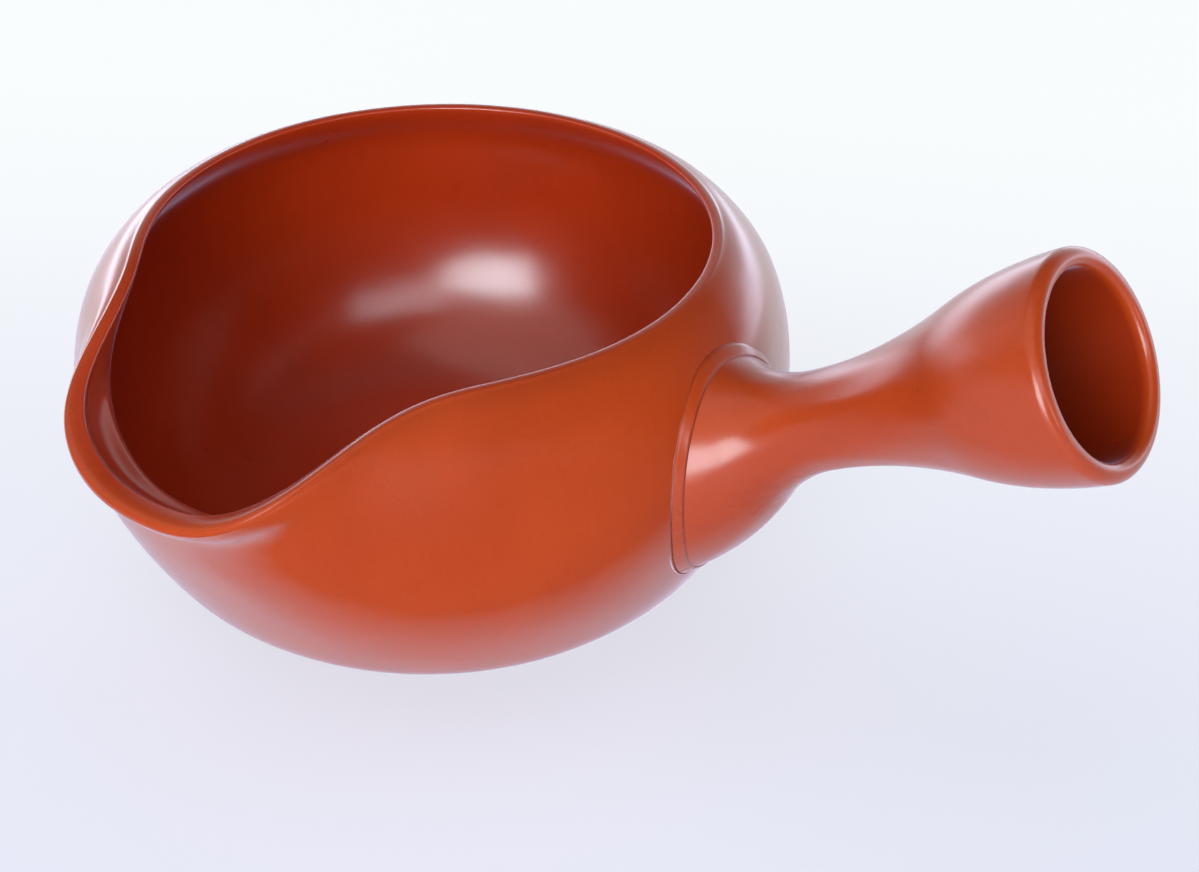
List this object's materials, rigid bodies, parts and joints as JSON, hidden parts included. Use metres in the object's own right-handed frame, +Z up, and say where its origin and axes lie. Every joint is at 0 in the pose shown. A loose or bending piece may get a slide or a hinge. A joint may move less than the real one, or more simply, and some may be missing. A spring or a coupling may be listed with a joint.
{
  "type": "side-handled pouring bowl",
  "caption": "Squat round clay pouring bowl with an incurved shoulder, a wide pulled lip and a hollow trumpet-shaped side handle set square to the lip.",
  "frame": {"origin": "middle of the flat base the bowl stands on", "axes": "+Z up through the bowl's mouth; +X towards the hollow handle; the pouring lip points to -Y, a little over a degree towards -X"},
  "size_m": [0.1576, 0.1117, 0.0796],
  "materials": {
    "clay_body": "burnished unglazed red clay, satin",
    "clay_handle": "burnished unglazed red clay, satin",
    "clay_slip": "fired slip, tooled, satin"
  },
  "bodies": {
    "root": {"bowl_body": "clay_body", "side_handle": "clay_handle", "handle_slip_joint": "clay_slip"}
  },
  "joints": []
}
